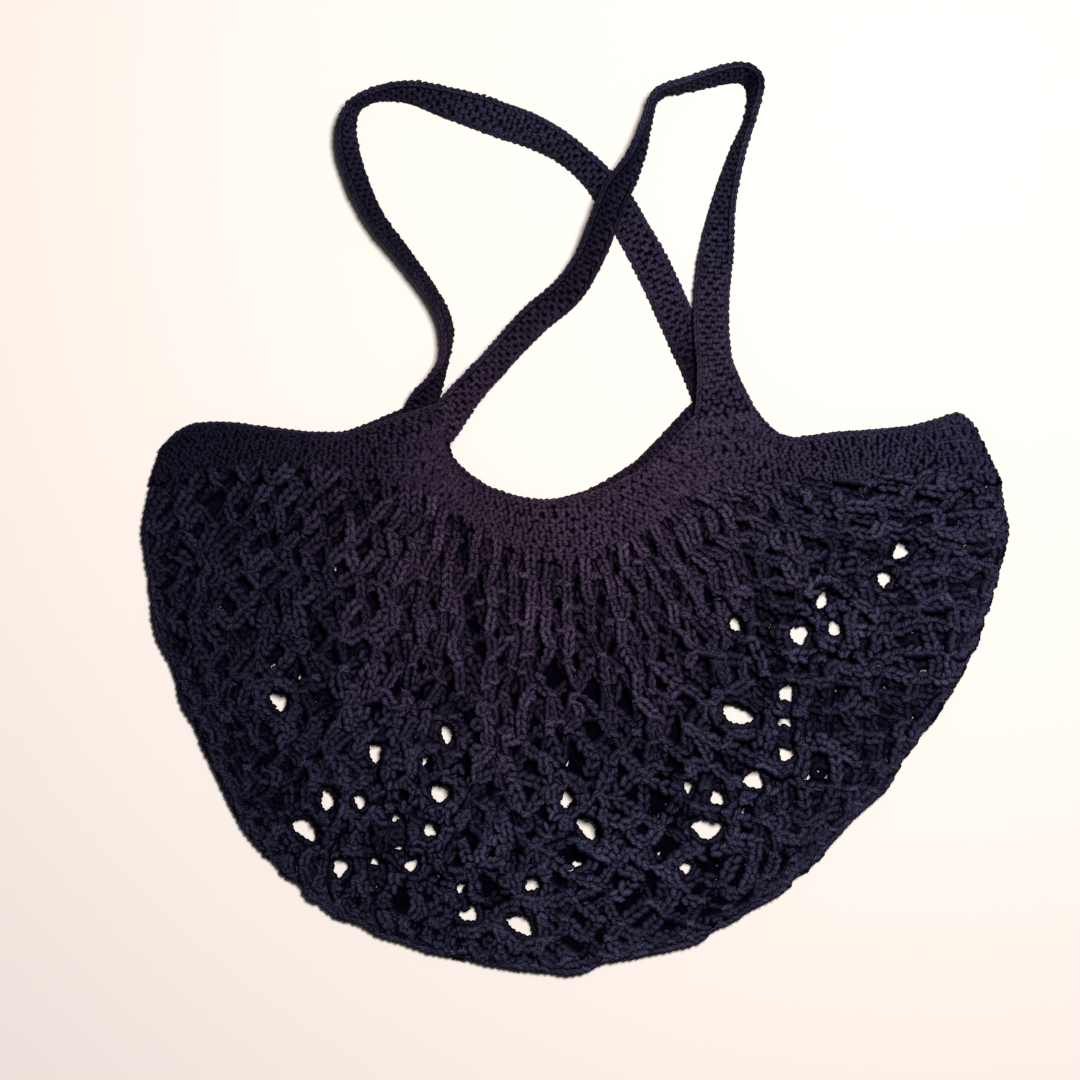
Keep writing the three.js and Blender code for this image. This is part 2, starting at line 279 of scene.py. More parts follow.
def joinGrains(name, places, shades):
    # one mesh of many grains, each with its own random tone of the yarn, times the painted shade where it
    # lies
    centre, along, side, up, depth = (np.concatenate(parts) for parts in zip(*places))
    shades = shades * depth
    count = len(centre)
    x, y, z = (grain["points"][None, :, k, None] for k in range(3))
    points = centre[:, None] + x * along[:, None] + y * side[:, None] + z * up[:, None]
    points[..., 2] = np.maximum(points[..., 2], grainForm["floorGap"])
    perGrain = len(grain["points"])
    loopCount = len(grain["loops"])
    order = np.arange(count)[:, None]
    mesh = bpy.data.meshes.new(name)
    mesh.vertices.add(count * perGrain)
    mesh.vertices.foreach_set("co", (points * mm).astype(np.float32).ravel())
    mesh.loops.add(count * loopCount)
    mesh.loops.foreach_set("vertex_index", (grain["loops"] + order * perGrain).astype(np.int32).ravel())
    mesh.polygons.add(count * len(grain["starts"]))
    mesh.polygons.foreach_set("loop_start", (grain["starts"] + order * loopCount).astype(np.int32).ravel())
    mesh.update(calc_edges=True)
    yarnMap = mesh.uv_layers.new(name="yarn")
    yarnMap.data.foreach_set("uv", np.tile(grain["map"], (count, 1)).astype(np.float32).ravel())
    shade = mesh.attributes.new("shade", "FLOAT", "POINT")
    shade.data.foreach_set("value", (shades[:, None] * grain["shade"]).astype(np.float32).ravel())
    mesh.shade_smooth()
    return mesh


def finishPiece(name, mesh, material, node):
    piece = bpy.data.objects.new(name, mesh)
    bpy.context.scene.collection.objects.link(piece)
    mesh.materials.append(material)
    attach(piece, "root")
    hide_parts(node)
    return piece


def stitchPiece(name, places, spread, material, node):
    # a finished piece of grains, whose shades vary by this spread
    count = sum(len(place[0]) for place in places)
    shades = np.clip(dice.normal(1, spread, count), *grainForm["shadeRange"])
    print(name, count, "lengths of yarn")
    return finishPiece(name, joinGrains(name, places, shades), material, node)


# chain stitches: a row of V's, two legs of yarn each
netChain = {
    "half": 4.3,  # half of a leg's length
    "thickness": 1.9,
    "spread": 1.85,  # each leg lies this far from the chain's middle
    "splay": 27,  # degrees that the legs open forward
    "tip": 12,  # degrees that the legs rise forward
    "uneven": 12,
}
rimChain = {**netChain, "uneven": 6}
edgeChain = {
    "half": 3.3,
    "thickness": 1.35,
    "spread": 0.9,
    "splay": 14,
    "tip": 6,
    "uneven": 7,
    "pitch": 4.0,
    "faceUp": 0.85,  # how much an edge's chain faces up, and out from the edge
    "faceOut": 0.5,
}
pathSteps = 1200  # steps that a path is measured in


def chainLegs(form, centre, ahead, normal, stretch=1.0, size=1.0, depth=1.0, calm=0.0):
    places = []
    sideways = np.cross(unit(normal), unit(ahead))
    count = len(centre)
    for hand in (-1, 1):
        splay = np.radians(form["splay"] * (1 - calm) + dice.normal(0, form["uneven"], count))
        tip = np.radians(form["tip"] + dice.normal(0, form["uneven"], count))
        thickness = form["thickness"] * size * dice.normal(1, grainForm["thickSpread"], count)
        spot = centre + sideways * (hand * form["spread"] * np.broadcast_to(size, count))[:, None]
        half = form["half"] * stretch * dice.normal(1, grainForm["lengthSpread"], count)
        places.append(layGrains(spot, ahead, normal, half, thickness, hand * splay, tip, depth))
    return places


def measured(path):
    # a function from lengths along a path to its shares, and the whole length
    fine = np.linspace(0, 1, pathSteps)
    steps = np.linalg.norm(np.diff(path(fine), axis=0), axis=1)
    lengths = np.concatenate([[0], np.cumsum(steps)])

    def shareAt(length):
        return np.interp(length, lengths, fine)

    return shareAt, lengths[-1]


def evenShares(path, pitch):
    shareAt, whole = measured(path)
    count = max(2, round(whole / pitch))
    return shareAt((np.arange(count) + 0.5) * whole / count)


def direction(path, share, step=0.0005):
    return unit(path(share + step) - path(share - step))


# close stitches, which are drawn larger or smaller to fill the cloth
closeForm = {
    "growRange": (0.8, 1.35),
    "thickGrow": 0.8,  # the yarn's thickness follows by this power
    "heightSpread": 0.2,
}


def closeStitches(surface, path, stitch, rows, faceUp, closed):
    # surface gives a point, its way ahead and normal, how tall all the rows are there and the painted shade,
    # from shares along and across the cloth
    shareAt, whole = measured(path)
    count = round(whole / stitch["pitch"])
    places = []
    for row in range(rows):
        slip = 0.5 * (row % 2)
        for along, down, half, thick, turn, height in stitch["grains"]:
            wobble = dice.normal(0, stitch["uneven"], (count, 2))
            length = (np.arange(count) + 0.5 + along + slip) * whole / count + wobble[:, 0]
            length = length % whole if closed else np.clip(length, 0, whole)
            across = (row + down + wobble[:, 1] / stitch["tall"]) / rows
            across = stitch["margin"] + (1 - 2 * stitch["margin"]) * across
            point, ahead, normal, tall, depth = surface(shareAt(length), across)
            grow = np.clip(tall / rows / stitch["tall"], *closeForm["growRange"])
            normal = normal * faceUp
            lean = np.radians(turn + dice.normal(0, stitch["lean"], count)) * -faceUp
            thickness = thick * grow ** closeForm["thickGrow"]
            thickness = thickness * dice.normal(1, grainForm["thickSpread"], count)
            rise = height + dice.normal(0, closeForm["heightSpread"], count)
            spot = point + normal * rise[:, None]
            places.append(layGrains(spot, ahead, normal, half * grow, thickness, lean, 0.0, depth))
    return places


# yarn finishes, and the light and shade painted into the yarn's colour
yarnFinishAndPaintedLight = {
    "purple": (0.054, 0.0285, 0.054),  # painted light: the yarn's colour in the warm pool of light round the neck
    "navy": (0.029, 0.0262, 0.053),  # the yarn's colour outside that painted pool of light, towards the folds
    "deep": (0.0009, 0.0007, 0.0036),  # what the shaded sides of the yarn go down to
    "neck": (-0.02, 0.02, 0.0),
    "reach": 0.205,  # metres from the neck to full navy
    "mottleSize": 14,
    "mottleDetail": 2,
    "mottle": 0.5,
    "shadedLeftX": -0.24,  # painted shade: the yarn darkens from the middle towards the left fold, where less light falls
    "leftShadeLevel": 0.46,
    "crownFall": 2.2,  # how fast the light falls off from the top of a yarn to its sides
    "sideShade": 0.1,
    "plies": 4,
    "turns": 3.2,  # plies that pass over one leg from end to end
    "plyDepth": 0.6,
    "plyHeight": 0.3,
    "plyShade": 0.85,  # painted shade: how much the grooves between the plies darken
    "grooveShade": 0.24,
    "fuzzSize": 900,
    "fuzzDetail": 3,
    "fuzzHeight": 0.6,
    "roughness": 0.85,
    "specular": 0.02,
    "netBrightness": 1.25,
    "closeBrightness": 1.05,
    # the sheet under the stitches is painted nearly black, as the shade between them
    "coreBrightness": 0.08,
}


def newGroup(name, inputs, outputs):
    group = bpy.data.node_groups.new(name, "ShaderNodeTree")
    for way, sockets in (("INPUT", inputs), ("OUTPUT", outputs)):
        for label, kind in sockets.items():
            group.interface.new_socket(name=label, in_out=way, socket_type=f"NodeSocket{kind}")
    given = group.nodes.new("NodeGroupInput").outputs
    made = group.nodes.new("NodeGroupOutput").inputs
    return group, given, made


def setInputs(tree, node, inputs):
    # each input is linked to another node's output, or set to a value
    for label, value in inputs.items():
        if isinstance(value, bpy.types.NodeSocket):
            tree.links.new(value, node.inputs[label])
        else:
            node.inputs[label].default_value = value


def addNode(tree, kind, inputs, **settings):
    node = tree.nodes.new(f"ShaderNode{kind}")
    for setting, value in settings.items():
        setattr(node, setting, value)
    setInputs(tree, node, inputs)
    return node


def addMath(tree, operation, *values):
    return addNode(tree, "Math", dict(enumerate(values)), operation=operation).outputs[0]


def plyTwistGroup():
    # height of twisted plies round a length of yarn, with loose fibres over them, and the painted shade on
    # its sides below a lit crown
    group, given, made = newGroup(
        "plyTwist", {"yarnMap": "Vector", "place": "Vector"}, {"height": "Float", "crown": "Float"})
    split = addNode(group, "SeparateXYZ", {0: given["yarnMap"]}).outputs
    around = addMath(group, "MULTIPLY", split["X"], yarnFinishAndPaintedLight["plies"])
    along = addMath(group, "MULTIPLY", split["Y"], yarnFinishAndPaintedLight["turns"])
    angle = addMath(group, "MULTIPLY", addMath(group, "ADD", around, along), math.pi)
    ridge = addMath(group, "ABSOLUTE", addMath(group, "SINE", angle))
    fuzz = addNode(group, "TexNoise", {
        "Vector": given["place"], "Scale": yarnFinishAndPaintedLight["fuzzSize"], "Detail": yarnFinishAndPaintedLight["fuzzDetail"]})
    fibres = addMath(group, "MULTIPLY", fuzz.outputs["Fac"], yarnFinishAndPaintedLight["fuzzHeight"])
    group.links.new(addMath(group, "ADD", ridge, fibres), made["height"])
    upper = addMath(group, "SINE", addMath(group, "MULTIPLY", split["X"], 2 * math.pi))
    upper = addMath(group, "POWER", addMath(group, "MAXIMUM", upper, 0.0), yarnFinishAndPaintedLight["crownFall"])
    crown = addMath(group, "MULTIPLY", upper, 1 - yarnFinishAndPaintedLight["sideShade"])
    group.links.new(addMath(group, "ADD", crown, yarnFinishAndPaintedLight["sideShade"]), made["crown"])
    return group


def paintedLightAndMottleGroup():
    # painted light and shade: a purple pool of light at the neck that fades to navy at the folds, mottled a
    # little at random, and the painted shade that darkens the yarn towards a deep navy
    group, given, made = newGroup("paintedLightAndMottle", {
        "place": "Vector", "shade": "Float", "ply": "Float", "crown": "Float",
        "purple": "Color", "navy": "Color",
    }, {"colour": "Color"})
    # painted light: the distance from the neck sets how far the purple pool of light has faded to navy
    away = addNode(group, "VectorMath", {0: given["place"], 1: yarnFinishAndPaintedLight["neck"]}, operation="DISTANCE")
    mottle = addNode(group, "TexNoise", {
        "Vector": given["place"], "Scale": yarnFinishAndPaintedLight["mottleSize"], "Detail": yarnFinishAndPaintedLight["mottleDetail"]})
    drift = addMath(group, "DIVIDE", away.outputs["Value"], yarnFinishAndPaintedLight["reach"])
    uneven = addMath(group, "MULTIPLY", mottle.outputs["Fac"], yarnFinishAndPaintedLight["mottle"])
    drift = addMath(group, "ADD", drift, uneven)
    drift = addMath(group, "SUBTRACT", drift, yarnFinishAndPaintedLight["mottle"] / 2)
    litTint = addNode(group, "Mix", {"Factor": drift, "A": given["purple"], "B": given["navy"]}, data_type="RGBA")
    # painted shade: the grooves between the plies, the grain's shade and the sides below the crown mix the
    # colour towards a deep navy
    crest = addMath(group, "MULTIPLY", given["ply"], yarnFinishAndPaintedLight["plyShade"])
    crest = addMath(group, "ADD", crest, yarnFinishAndPaintedLight["grooveShade"])
    strength = addMath(group, "MULTIPLY", given["shade"], crest)
    strength = addMath(group, "MULTIPLY", strength, given["crown"])
    split = addNode(group, "SeparateXYZ", {0: given["place"]})
    # painted shade: darker towards the left fold, down to its lowest share at that x
    leftShaded = addNode(group, "MapRange", {
        "Value": split.outputs["X"], "From Min": yarnFinishAndPaintedLight["shadedLeftX"], "From Max": 0,
        "To Min": yarnFinishAndPaintedLight["leftShadeLevel"],
    })
    strength = addMath(group, "MULTIPLY", strength, leftShaded.outputs["Result"])
    lit = addNode(
        group, "Mix", {"Factor": strength, "A": (*yarnFinishAndPaintedLight["deep"], 1), "B": litTint.outputs["Result"]},
        data_type="RGBA", clamp_factor=False,
    )
    group.links.new(lit.outputs["Result"], made["colour"])
    return group


plyTwist = plyTwistGroup()
paintedLightAndMottle = paintedLightAndMottleGroup()


def yarnMaterial(name, brightness):
    material = bpy.data.materials.new(name)
    material.use_nodes = True
    tree = material.node_tree
    place = addNode(tree, "TexCoord", {}).outputs
    shade = addNode(tree, "Attribute", {}, attribute_name="shade")
    twist = addNode(tree, "Group", {"yarnMap": place["UV"], "place": place["Object"]}, node_tree=plyTwist)
    plies = twist.outputs
    litTint = addNode(tree, "Group", {
        "place": place["Object"],
        "shade": shade.outputs["Fac"],
        "ply": plies["height"],
        "crown": plies["crown"],
        "purple": (*[c * brightness for c in yarnFinishAndPaintedLight["purple"]], 1),
        "navy": (*[c * brightness for c in yarnFinishAndPaintedLight["navy"]], 1),
    }, node_tree=paintedLightAndMottle)
    bump = addNode(tree, "Bump", {
        "Strength": yarnFinishAndPaintedLight["plyDepth"],
        "Distance": yarnFinishAndPaintedLight["plyHeight"] * mm,
        "Height": plies["height"],
    })
    setInputs(tree, tree.nodes["Principled BSDF"], {
        "Base Color": litTint.outputs["colour"],
        "Normal": bump.outputs["Normal"],
        "Roughness": yarnFinishAndPaintedLight["roughness"],
        "Specular IOR Level": yarnFinishAndPaintedLight["specular"],
    })
    return material


netYarn = yarnMaterial("net_yarn", yarnFinishAndPaintedLight["netBrightness"])
closeYarn = yarnMaterial("close_yarn", yarnFinishAndPaintedLight["closeBrightness"])
shadedCore = yarnMaterial("shaded_core", yarnFinishAndPaintedLight["coreBrightness"])
print("yarn finishes ready")

# the net: two layers of chain diamonds that fan out from the mouth
netForm = {
    "columns": 90,  # half diamonds across one layer
    "rows": 22,  # half diamonds from the band to the bottom fold, at most
    "strand": 18,  # one side of a diamond at rest
    "shortest": 3,  # what is left shorter is not worked
    "stitches": 3,  # chain stitches on each strand
    "stretchRange": (0.8, 1.1),  # of the legs, with the strand
    "knotShare": 0.12,  # the part of a strand that its knot takes at each end
    "tuck": 5,  # the first knots sit this far up in the band
    "fanEase": 0.02,
    "rowCrowd": 0.25,  # rows lie closer towards the folds, by this much
    "rowPower": 2.2,
    "bowReach": 0.45,  # share of the columns that curve along the left fold
    # how unevenly the knots lie, and how fast they come free of the band and of the folds
    "shift": 2.3,  # each by itself
    "drift": 3.6,  # together with their neighbours
    "freeFrom": (2.5, 6),
    "heldShift": 0.25,  # share of their own shift that is left beside both
    # strands that press together below the mouth
    "crowdMiddle": 0.49,  # share of the columns
    "crowdAcross": (4.5, 18),  # full there, and how fast it fades to the sides
    "crowdOutward": (1.45, 2.6),  # and away from the band
    "bunch": (0.3, -0.3, 0.0),  # each three lie together, by columns,
    "bunchLift": (1.0, -0.6, -1.0),  # over and under each other
    "bunchStraight": 0.75,
    "pressGap": 10,  # other strands press on each other at less than this,
    "pressReach": 5,  # and fully so this much closer
    "pressLift": 0.8,
    "pressCalm": 0.35,  # pressed legs open less by this share
    "ropeRise": 2,
    "ropeSink": 4.5,
    "openSize": 0.24,  # chains that nothing presses are fuller by this share
    # how the chains lie
    "roll": 32,  # degrees that a chain rolls about its way
    "rollMost": 60,
    "twist": 35,  # and turns further from end to end
    "heightSpread": 1.5,
    "knotLift": 0.25,  # share of a strand's lift that its knots have
    "slackSpread": 0.6,  # how far slack strands bow aside
    "slackMost": 0.9,
    "strandShade": 0.15,
    "strandRange": (0.5, 1.4),
    # painted shade: strands that lie lower are darker, from the lightest on top to the darkest sunken ones
    "sunkShade": 0.42,  # the darkest that a sunken strand gets,
    "sunkReach": 6,  # which is this far down
    "topShade": 1.1,  # and the lightest of those on top
    "knotTone": 0.95,
    "knotRange": (0.5, 1.5),
    "knotLean": 22,
    "yarnShade": 0.18,
    # the back layer
    "backHeight": 4,
    "backSink": 0.5,  # share of a strand's sinking that its chains rise by here
    "backSize": 1.5,
    "shownUpTo": 0.24,  # shares of the columns on the left and on the right where it lies face up
    "shownFrom": 0.66,
    "shownSize": 1.2,
    "shownShade": (0.2, 0.3),  # painted shade of the face-up back layer, which lies under the front one, on the left and on the right
    "splitX": -30,  # where the layers are cut into a left and a right piece
    # the folds, and the chain that runs along them
    "foldPart": 1.8,  # the layers lie this far above and below the fold's middle
    "cornerHeight": 12,  # chains keep further in above this, where the folds run up into the band
    "cornerReach": 8,
    "cornerInset": 4,
    "rimInset": 4.8,
    "rimEndInset": 0.75,  # share of the inset that is left at both ends
    "rimSteady": 0.05,  # share of the outline at both ends where the rim runs straight
    "rimSpread": 1.9,  # how far the rim wanders in and out,
    "rimBends": 76,  # at this many places
    "rimEase": 0.4,
    "rimShade": (0.6, 1.05),
    "rimCalm": 0.3,
}
# how the columns fan out: a share of the columns, the station where that one leaves the band,
# the share of the outline's length where it ends, and its rows
netFan = [
    (0.0, 0.1, 0.19, 18),
    (0.09, 1.2, 0.245, 21),
    (0.18, 2.3, 0.30, 22),
    (0.27, 3.3, 0.35, 22),
    (0.36, 4.4, 0.40, 22),
    (0.45, 5.5, 0.455, 21),
    (0.54, 6.5, 0.52, 20),
    (0.62, 7.4, 0.62, 19),
    (0.70, 8.2, 0.71, 18),
    (0.78, 8.9, 0.80, 17),
    (0.86, 9.9, 0.89, 15),
    (0.94, 11.4, 0.955, 11),
    (1.0, 12.9, 0.99, 5),
]
# loose spots, where both layers part and the floor shows through
spotForm = {
    "yarnHalf": 5.3,  # half of a chain's width, kept clear of a spot
    "backMore": 1.2,  # the back layer keeps this much clearer
    "reach": 10,  # chains this far from its edge are moved
    "grip": 3,  # how closely they gather on the edge
    "fade": 1.5,
    "calm": 0.3,  # the legs there open less by this share
    "knotLess": 0.35,  # and the knots are shorter
    "rimHalf": 5.0,  # half of the loops' width round a spot
    "rimWave": 0.07,
    "rimWaves": 3,
    "height": 6.0,  # of the loops
}
# x, y, half length, half width and degrees that its length is turned
looseSpots = [
    (-177, -110, 4.5, 3.6, 125), (-161, -187, 7, 4, 140), (-148, -169, 5.3, 3, 95),
    (-140, -210, 4.2, 3.2, 70), (-128, -170, 3.2, 2.6, 105), (-119, -141, 4.7, 2.7, 95),
    (-118, -219, 3.7, 2.2, 170), (-118, -209, 4, 2.7, 125), (-106, -184, 5, 3.2, 90),
    (-106, -195, 4, 3, 90), (-97, -208, 3.7, 2, 35), (-86, -187, 3.4, 2.6, 85), (-80, -165, 4.7, 4, 15),
    (-76, -130, 5, 2.3, 95), (-67, -223, 3.5, 1.7, 80),
    (-63, -237, 4.5, 4.2, 0), (-32, -244, 7.5, 4, 150), (-25, -220, 3.5, 2.7, 25), (-4, -169, 4.3, 2.9, 95),
    (8, -186, 6.5, 3.2, 130), (67, -210, 2.6, 2.3, 75), (69, -161, 3, 1.8, 65), (80, -186, 8, 5, 5),
    (86, -168, 3.6, 2.9, 130), (98, -118, 9, 4, 160), (97, -64, 3.6, 2.2, 105), (108, -157, 5, 4.4, 0),
    (127, -139, 5.8, 3.6, 100), (127, -124, 5.6, 3.2, 95), (128, -106, 5, 3.4, 85), (135, -70, 5, 4.3, 75),
    (149, -50, 5.3, 2.5, 80), (156, -66, 4.4, 2.7, 105), (186, -37, 4, 3, 80), (196, -20, 4, 3.4, 60),
]
firstKnot = {"front": 0, "back": 1}  # the layers use every other knot, in turn
knotReach = 0.06  # share of a strand over which its way ahead is taken


def fanAt(share):
    return eased(netFan, share, netForm["fanEase"])


def foldSides(plan):
    # where the chains along the folds run, beside and below each place
    leftX, rightX, lowerY = foldsBeside(plan)
    inCorner = np.clip(plan[..., 1] - netForm["cornerHeight"], 0, netForm["cornerReach"])
    inset = netForm["rimInset"] + inCorner * netForm["cornerInset"] / netForm["cornerReach"]
    return leftX + inset, rightX - inset, lowerY + netForm["rimInset"]


def keepInside(plan):
    # no chain reaches past the folds
    leftX, rightX, lowerY = foldSides(plan)
    return np.stack([np.clip(plan[..., 0], leftX, rightX), np.maximum(plan[..., 1], lowerY)], axis=-1)


def foldGap(plan):
    leftX, rightX, lowerY = foldSides(plan)
    aside = np.minimum(plan[..., 0] - leftX, rightX - plan[..., 0])
    return np.maximum(0, np.minimum(aside, plan[..., 1] - lowerY))


def toSpot(plan, spot, margin):
    # places seen from a loose spot, where 1 is its rim
    x, y, long, short, degrees = spot
    turn = math.radians(degrees)
    away = plan - (x, y)
    along = (away[..., 0] * math.cos(turn) + away[..., 1] * math.sin(turn)) / (long + margin)
    aside = (away[..., 1] * math.cos(turn) - away[..., 0] * math.sin(turn)) / (short + margin)
    return np.stack([along, aside], axis=-1)


def fromSpot(local, spot, margin):
    x, y, long, short, degrees = spot
    turn = math.radians(degrees)
    along = local[..., 0] * (long + margin)
    aside = local[..., 1] * (short + margin)
    return np.stack([
        x + along * math.cos(turn) - aside * math.sin(turn),
        y + along * math.sin(turn) + aside * math.cos(turn),
    ], axis=-1)


def partLoops(plan, layer):
    margin = spotForm["yarnHalf"] * (1 if layer == "front" else spotForm["backMore"])
    for spot in looseSpots * 2:  # twice, so that neighbouring spots settle
        local = toSpot(plan, spot, margin)
        distance = np.linalg.norm(local, axis=-1, keepdims=True)
        reach = 1 + spotForm["reach"] / (spot[3] + margin)
        wanted = 1 + (reach - 1) * (distance / reach) ** spotForm["grip"]
        moved = fromSpot(local / np.maximum(distance, 1e-3) * wanted, spot, margin)
        plan = np.where(distance < reach, moved, plan)
    return keepInside(plan)


def besideSpot(plan):
    # 1 on the edge of a loose spot, 0 away from all of them
    nearest = np.zeros(len(plan))
    for spot in looseSpots:
        distance = np.linalg.norm(toSpot(plan, spot, spotForm["yarnHalf"]), axis=-1)
        nearest = np.maximum(nearest, np.clip(1 - (distance - 1) * spotForm["fade"], 0, 1))
    return nearest


def spotRims():
    # the loops of chain that hold each loose spot open
    places = []
    for spot in looseSpots:
        phase = dice.uniform(0, 2 * math.pi)

        def path(share):
            turn = 2 * math.pi * np.asarray(share, float)
            wave = 1 + spotForm["rimWave"] * np.cos(spotForm["rimWaves"] * turn + phase)
            ring = np.stack([wave * np.cos(turn), wave * np.sin(turn)], axis=-1)
            plan = fromSpot(ring, spot, spotForm["rimHalf"])
            return raised(plan, np.full(np.shape(share), spotForm["height"]))

        share = evenShares(path, edgeChain["pitch"])
        ahead = direction(path, share)
        # painted shade: the loops lie low under the front layer and take a sunken strand's darkest shade
        places += chainLegs(netChain, path(share), ahead, upward(len(share)), depth=netForm["sunkShade"])
    return places


def crowding(column, outward):
    # strands press together below the mouth and part further out
    aside = np.abs(column / netForm["columns"] - netForm["crowdMiddle"])
    full, fade = netForm["crowdAcross"]
    middle = np.clip(full - fade * aside, 0, 1)
    full, fade = netForm["crowdOutward"]
    return np.clip(full - fade * outward, 0, 1) * middle


def sideBow(share, outward):
    # the columns on the left curve as the fold beside them does
    end = netFan[0][2]
    chord = outlineAt(np.zeros_like(outward)) * (1 - outward)[..., None]
    chord = chord + outlineAt(np.full_like(outward, end)) * outward[..., None]
    fade = np.clip(1 - share / netForm["bowReach"], 0, 1)[..., None]
    return (outlineAt(end * outward) - chord) * fade


def unevenField(across, down):
    # random steps that neighbouring knots partly share
    field = dice.normal(0, 1, (across + 2, down + 2, 2))
    return sum(field[a:a + across, b:b + down] for a in range(3) for b in range(3)) / 3


def netKnots():
    # knots of the front layer in plan, how far out each lies, and which are used
    column, row = np.meshgrid(
        np.arange(netForm["columns"] + 1), np.arange(netForm["rows"] + 1), indexing="ij")
    rows = fanAt(column / netForm["columns"])[..., 2]
    outward = np.minimum(1, row / rows)
    bunched = np.choose(column % 3, netForm["bunch"]) * crowding(column, outward)
    fan = fanAt((column + bunched) / netForm["columns"])
    inner = lowEdge(fan[..., 0] / lastStation)
    outer = outlineAt(fan[..., 1])
    inner = inner - unit(outer - inner) * netForm["tuck"]
    closer = netForm["rowCrowd"]
    outward = (1 + closer) * outward - closer * outward ** netForm["rowPower"]
    plan = inner + (outer - inner) * outward[..., None] + sideBow(column / netForm["columns"], outward)
    fromBand, fromFold = netForm["freeFrom"]
    free = (np.minimum(1, fromBand * outward) * np.minimum(1, fromFold * (1 - outward)))[..., None]
    plan = plan + netForm["drift"] * unevenField(*column.shape) * free
    plan = plan + dice.normal(0, netForm["shift"], plan.shape) * np.maximum(netForm["heldShift"], free)
    return keepInside(plan), outward, row <= rows + 1


frontKnots = netKnots()


def backKnots():
    # the back layer's knots lie behind the gaps of the front layer
    plan, outward, used = frontKnots
    spread = np.pad(plan, ((1, 1), (1, 1), (0, 0)), mode="edge")
    around = (spread[:-2, 1:-1] + spread[2:, 1:-1] + spread[1:-1, :-2] + spread[1:-1, 2:]) / 4
    return around + dice.normal(0, netForm["shift"] / 2, plan.shape), outward, used


layerKnots = {"front": frontKnots, "back": backKnots()}


def netStrands(layer):
    # the two ends of every strand, worked from left to right, its column and row, and how far out it lies
    plan, outward, used = layerKnots[layer]
    pairs = []
    for i in range(netForm["columns"] + 1):
        for j in range(netForm["rows"]):
            if (i + j) % 2 != firstKnot[layer]:
                continue
            if i < netForm["columns"] and used[i, j] and used[i + 1, j + 1]:
                pairs.append((i, j, i + 1, j + 1, i, j))
            if i > 0 and used[i, j] and used[i - 1, j + 1]:
                pairs.append((i - 1, j + 1, i, j, i - 1, j))
    pairs = np.array(pairs)
    first = (pairs[:, 0], pairs[:, 1])
    second = (pairs[:, 2], pairs[:, 3])
    long = np.linalg.norm(plan[second] - plan[first], axis=1) > netForm["shortest"]
    middle = (outward[first] + outward[second]) / 2
    return plan[first][long], plan[second][long], pairs[long, 4], pairs[long, 5], middle[long]


def layerHeight(layer, plan, lift):
    opened = roundUp(foldGap(plan))
    if layer == "front":
        height = netHeight(plan) + lift
        fold = bagForm["foldHeight"] + netForm["foldPart"]
    else:
        height = netForm["backHeight"] + np.maximum(0, -lift) * netForm["backSink"]
        fold = bagForm["foldHeight"] - netForm["foldPart"]
    return fold + (height - fold) * opened


def layerLook(layer, column, plan, frontSize):
    # which way a layer's chains face, how full they are, and their painted shade
    facing = upward(len(plan))
    if layer == "front":
        return facing, frontSize, 1
    share = column / netForm["columns"]
    onLeft = share < netForm["shownUpTo"]
    onRight = share > netForm["shownFrom"]
    shown = onLeft | onRight
    # the rest of the back layer faces down, so from above its painted dark underside shows in the holes
    facing[~shown] *= -1
    full = np.where(shown, netForm["shownSize"], netForm["backSize"])
    size = 1 + (full - 1) * roundUp(foldGap(plan))
    return facing, size, np.select([onLeft, onRight], netForm["shownShade"], 1)


